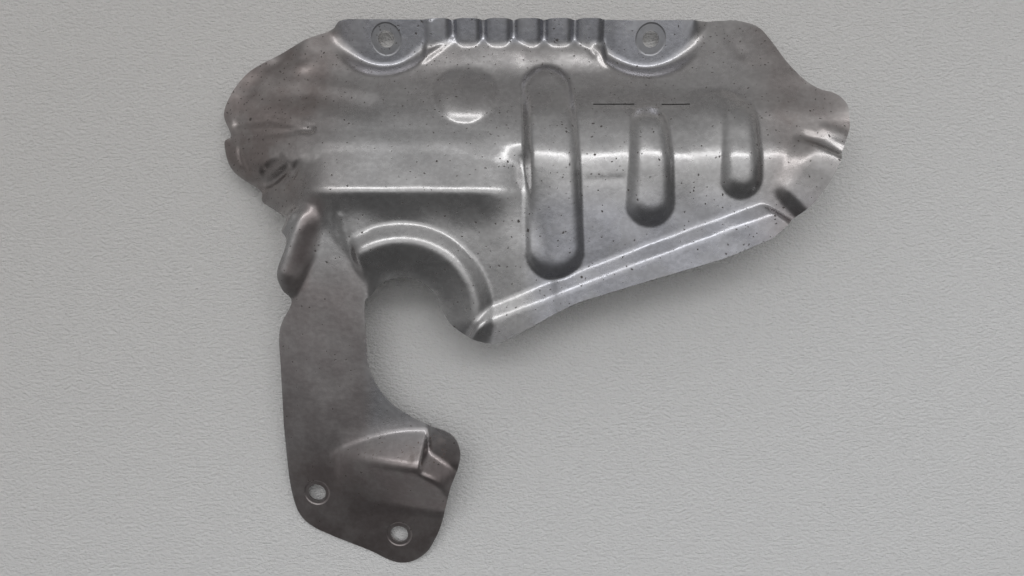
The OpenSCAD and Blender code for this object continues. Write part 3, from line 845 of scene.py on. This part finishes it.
def steel_material():
    material = bpy.data.materials.new("aged_sheet_steel")
    material.use_nodes = True
    tree = material.node_tree
    tree.nodes.clear()
    shader = tree.nodes.new("ShaderNodeBsdfPrincipled")
    output = tree.nodes.new("ShaderNodeOutputMaterial")
    tree.links.new(shader.outputs["BSDF"], output.inputs["Surface"])
    place = tree.nodes.new("ShaderNodeTexCoord").outputs["Object"]

    def mask(name):
        node = tree.nodes.new("ShaderNodeAttribute")
        node.attribute_name = name
        return node.outputs["Fac"]

    def round_holes(centres, ring):
        """Mask of a ring round each of two holes."""
        at = [tuple((c + d) * MM for c, d in zip((*xy, 0.0), (SHIFT[0], SHIFT[1], 0.0))) for xy in centres]
        masks = [use_group(tree, RINGS, Vector=place, Centre=centre, **ring) for centre in at]
        return math_node(tree, "MAXIMUM", *masks)

    # unevenness that bends the speck outlines
    jitter = tree.nodes.new("ShaderNodeTexNoise")
    jitter.inputs["Scale"].default_value = 700.0
    tree.links.new(place, jitter.inputs["Vector"])
    uneven = vector_node(tree, "MULTIPLY_ADD", jitter.outputs["Color"], (0.0016, 0.0016, 0.0016), place)

    # steel, a bluish tint that is a painted reflection, a brownish heat tint that is partly painted shade, a
    # darker foot with painted shade on the arm, then pale wear and dark stains
    wide = use_group(tree, CLOUDS, Vector=place, Scale=24.0, Low=0.30, High=0.72)
    blotch = use_group(tree, CLOUDS, Vector=place, Scale=85.0, Low=0.35, High=0.70)
    fine = use_group(tree, CLOUDS, Vector=place, Scale=480.0, Low=0.30, High=0.75)
    brown_tint_and_shade = math_node(tree, "MULTIPLY", mask("brown_tint_and_shade"), ramp_node(tree, wide, 0.0, 1.0, 0.7, 1.15))
    colour = mix_colour(tree, mask("blue_reflection"), STEEL, BLUE_REFLECTION_TINT)
    colour = mix_colour(tree, brown_tint_and_shade, colour, BROWN_TINT_AND_SHADE)
    colour = mix_colour(tree, mask("foot"), colour, FOOT_TINT_AND_SHADE)
    colour = mix_colour(tree, ramp_node(tree, blotch, 0.0, 1.0, 0.0, 0.22), colour, PALE_WORN)
    colour = mix_colour(tree, ramp_node(tree, wide, 0.0, 1.0, 0.09, 0.0), colour, DARK_SPOT)
    colour = mix_colour(tree, ramp_node(tree, fine, 0.0, 1.0, 0.14, 0.0), colour, DARK_SPOT)

    # dull rings left by washers, and the shallow seats round all four holes
    rings = round_holes(FLANGE_HOLES, WASHER_MARK)
    colour = mix_colour(tree, math_node(tree, "MULTIPLY", rings, 0.6), colour, WASHER_GREY)
    dents = round_holes(FOOT_HOLES, FOOT_DENT)
    seats = math_node(tree, "MULTIPLY", round_holes(FLANGE_HOLES, FLANGE_SEAT), FLANGE_SEAT_DEPTH)
    dent = math_node(tree, "MAXIMUM", dents, seats)

    # pits and specks, more of them where the sheet ran hot
    density = ramp_node(tree, mask("brown_tint_and_shade"), 0.0, 1.0, 0.30, 0.75)
    thick = ramp_node(tree, wide, 0.0, 1.0, 0.4, 1.3)
    density = math_node(tree, "MULTIPLY", density, thick)
    density = math_node(tree, "MULTIPLY", density, ramp_node(tree, mask("foot"), 0.0, 1.0, 1.0, 0.25))
    many = math_node(tree, "MULTIPLY", density, 1.3)
    dots = use_group(tree, SPECKS, Vector=uneven, Scale=600.0, Size=0.27, Density=many)
    pits = use_group(tree, SPECKS, Vector=uneven, Scale=230.0, Size=0.16, Density=density)
    marks = math_node(tree, "MAXIMUM", dots, pits)
    colour = mix_colour(tree, math_node(tree, "MULTIPLY", marks, 0.92), colour, DARK_SPOT)

    # rust on the face of the stiffener
    rust_dots = use_group(tree, SPECKS, Vector=uneven, Scale=620.0, Size=0.32, Density=0.5)
    rust_cloud = use_group(tree, CLOUDS, Vector=place, Scale=170.0, Low=0.48, High=0.74)
    rust_all = math_node(tree, "MAXIMUM", math_node(tree, "MULTIPLY", rust_cloud, 0.55), rust_dots)
    rust = math_node(tree, "MULTIPLY", mask("rust"), rust_all)
    colour = mix_colour(tree, math_node(tree, "MULTIPLY", rust, 0.8), colour, RUST)

    # scratches and the worn rim
    lines = use_group(tree, SCRATCHES, Vector=place, Turn=0.35, Scale=55.0, Amount=0.5)
    lines2 = use_group(tree, SCRATCHES, Vector=place, Turn=1.9, Scale=47.0, Amount=0.5)
    scratches = math_node(tree, "MAXIMUM", lines, lines2)
    colour = mix_colour(tree, math_node(tree, "MULTIPLY", scratches, 0.4), colour, PALE_WORN)
    worn = math_node(tree, "MULTIPLY", mask("rim"), ramp_node(tree, blotch, 0.0, 1.0, 0.0, 0.3))
    colour = mix_colour(tree, worn, colour, PALE_WORN)
    tree.links.new(colour, shader.inputs["Base Color"])

    # dirt is less metallic; tint, washer marks, the foot and dirt are duller
    dirt = math_node(tree, "MAXIMUM", marks, rust)
    tree.links.new(ramp_node(tree, dirt, 0.0, 1.0, 0.96, 0.2), shader.inputs["Metallic"])
    rough = ramp_node(tree, blotch, 0.0, 1.0, 0.24, 0.30)
    for duller, amount in ((brown_tint_and_shade, 0.04), (rings, 0.12), (mask("foot"), 0.06), (dirt, 0.3)):
        more = math_node(tree, "MULTIPLY", duller, amount)
        rough = math_node(tree, "ADD", rough, more, clamp=duller is dirt)
    tree.links.new(rough, shader.inputs["Roughness"])

    # surface grain, orange peel, pits and scratches over a deeper bump for the shallow seats round the holes
    grain = noise_node(tree, place, 2600.0, 3.0)
    peel = noise_node(tree, place, 420.0, 3.0)
    height = math_node(tree, "MULTIPLY_ADD", grain, 0.25, peel)
    height = math_node(tree, "SUBTRACT", height, math_node(tree, "MULTIPLY", marks, 0.6))
    height = math_node(tree, "SUBTRACT", height, math_node(tree, "MULTIPLY", scratches, 0.25))
    deep = bump_node(tree, math_node(tree, "MULTIPLY", dent, -1.0), 1.0, SEAT_DEPTH)
    tree.links.new(bump_node(tree, height, 0.22, GRAIN_DEPTH, deep), shader.inputs["Normal"])
    return material


# Table, light and camera
# painted light: the table's two colours stand for the light falling off across it
TABLE_PAINTED_DIM, TABLE_PAINTED_LIT = (0.73, 0.712, 0.695), (0.92, 0.922, 0.925)
TABLE_CLOUD = (0.8, 0.8, 0.8)
TABLE_HALF, TABLE_GRAIN_DEPTH = 4.0, 0.0016            # metres


def table_material():
    material = bpy.data.materials.new("pale_table")
    material.use_nodes = True
    tree = material.node_tree
    shader = tree.nodes["Principled BSDF"]
    shader.inputs["Roughness"].default_value = 0.75
    place = tree.nodes.new("ShaderNodeTexCoord").outputs["Object"]
    cloud = use_group(tree, CLOUDS, Vector=place, Scale=6.0, Low=0.3, High=0.7)
    across = tree.nodes.new("ShaderNodeSeparateXYZ")
    tree.links.new(place, across.inputs["Vector"])
    sideways = math_node(tree, "MULTIPLY", across.outputs["X"], 0.4)
    toward = math_node(tree, "SUBTRACT", sideways, across.outputs["Y"])
    # painted light: darker toward the top left, lighter toward the bottom right
    colour = mix_colour(tree, ramp_node(tree, toward, -0.2, 0.2), TABLE_PAINTED_DIM, TABLE_PAINTED_LIT)
    colour = mix_colour(tree, math_node(tree, "MULTIPLY", cloud, 0.08), colour, TABLE_CLOUD)
    tree.links.new(colour, shader.inputs["Base Color"])
    stretch = tree.nodes.new("ShaderNodeMapping")
    stretch.inputs["Scale"].default_value = (0.6, 1.0, 1.0)
    tree.links.new(place, stretch.inputs["Vector"])
    grain = noise_node(tree, stretch.outputs["Vector"], 900.0, 3.0, 0.65)
    tree.links.new(bump_node(tree, grain, 0.9, TABLE_GRAIN_DEPTH), shader.inputs["Normal"])
    return material


def make_table():
    mesh = bpy.data.meshes.new("table_top")
    corners = [(TABLE_HALF * u, TABLE_HALF * v, 0) for u, v in ((-1, -1), (1, -1), (1, 1), (-1, 1))]
    mesh.from_pydata(corners, [], [(0, 1, 2, 3)])
    top = bpy.data.objects.new("table_top", mesh)
    bpy.context.scene.collection.objects.link(top)
    mesh.materials.append(table_material())


def lamp(name, lean, distance, width, depth, radiance):
    """A soft rectangular lamp, leaning lean degrees from overhead toward +Y. Sizes are in metres."""
    data = bpy.data.lights.new(name, "AREA")
    data.shape = "RECTANGLE"
    data.size, data.size_y = width, depth
    data.energy = radiance * math.pi * width * depth
    light = bpy.data.objects.new(name, data)
    bpy.context.scene.collection.objects.link(light)
    a = math.radians(lean)
    light.location = (0, distance * math.sin(a), distance * math.cos(a))
    light.rotation_euler = (-a, 0, 0)


# Radiance of the room by angle from overhead toward +Y, in degrees
ROOM_BY_ANGLE = ((-90, 0.10), (-50, 0.10), (-37, 0.12), (-27, 0.17), (-19, 0.42), (-9, 0.68), (8, 0.72),
                 (20, 0.78), (34, 0.66), (44, 0.62), (54, 0.52), (64, 0.41), (76, 0.32), (90, 0.26))
SIDE_LEVEL = 0.29                      # far to the left and right
DARK_CORNER_LEVEL = 0.12               # toward +X and -Y
BACKGROUND = (0.8, 0.8, 0.81, 1)       # what the camera sees past the table


def set_world():
    """The room that lights the metal: brightest overhead, dark low down, behind a pale background."""
    world = bpy.data.worlds.new("studio")
    bpy.context.scene.world = world
    world.use_nodes = True
    tree = world.node_tree
    tree.nodes.clear()
    out = tree.nodes.new("ShaderNodeOutputWorld")
    split = tree.nodes.new("ShaderNodeSeparateXYZ")
    tree.links.new(tree.nodes.new("ShaderNodeTexCoord").outputs["Generated"], split.inputs["Vector"])
    angle = math_node(tree, "ARCTAN2", split.outputs["Y"], split.outputs["Z"])
    ramp = tree.nodes.new("ShaderNodeValToRGB")
    ramp.color_ramp.interpolation = "EASE"
    elements = ramp.color_ramp.elements
    for k, (degrees, level_here) in enumerate(ROOM_BY_ANGLE):
        place = (degrees + 90) / 180
        stop = elements[k] if k < 2 else elements.new(place)
        stop.position = place
        stop.color = (level_here, level_here, level_here, 1)
    tree.links.new(math_node(tree, "MULTIPLY_ADD", angle, 1 / math.pi, 0.5), ramp.inputs["Fac"])
    sideways = math_node(tree, "ABSOLUTE", split.outputs["X"])
    fade = ramp_node(tree, sideways, 0.35, 0.98)
    lower = math_node(tree, "SUBTRACT", split.outputs["X"], split.outputs["Y"])
    side_light = ramp_node(tree, lower, 0.6, 1.0, SIDE_LEVEL, DARK_CORNER_LEVEL)
    level_mix = mix_colour(tree, fade, ramp.outputs["Color"], side_light)
    room = tree.nodes.new("ShaderNodeBackground")
    tree.links.new(level_mix, room.inputs["Color"])
    seen = tree.nodes.new("ShaderNodeBackground")
    seen.inputs["Color"].default_value = BACKGROUND
    path = tree.nodes.new("ShaderNodeLightPath")
    choose = tree.nodes.new("ShaderNodeMixShader")
    tree.links.new(path.outputs["Is Camera Ray"], choose.inputs["Fac"])
    tree.links.new(room.outputs["Background"], choose.inputs[1])
    tree.links.new(seen.outputs["Background"], choose.inputs[2])
    tree.links.new(choose.outputs["Shader"], out.inputs["Surface"])


def set_camera():
    data = bpy.data.cameras.new("camera_above")
    data.sensor_width = SENSOR_WIDTH
    data.lens = FOCAL_PIXELS * SENSOR_WIDTH / PICTURE_WIDTH
    data.clip_start = 0.01
    camera = bpy.data.objects.new("camera_above", data)
    camera.location = [c * MM for c in CAMERA_AT]
    bpy.context.scene.collection.objects.link(camera)
    bpy.context.scene.camera = camera


shield = build_sheet()
shield.data.materials.append(steel_material())
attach(shield, "root")
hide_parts("heat_shield")

make_table()
lamp("strip_lamp", 27, 1.5, 2.0, 0.22, 2.9)
lamp("ceiling_lamp", 10, 1.9, 2.4, 1.3, 0.25)
set_world()
set_camera()
bpy.context.scene.view_settings.view_transform = "Standard"
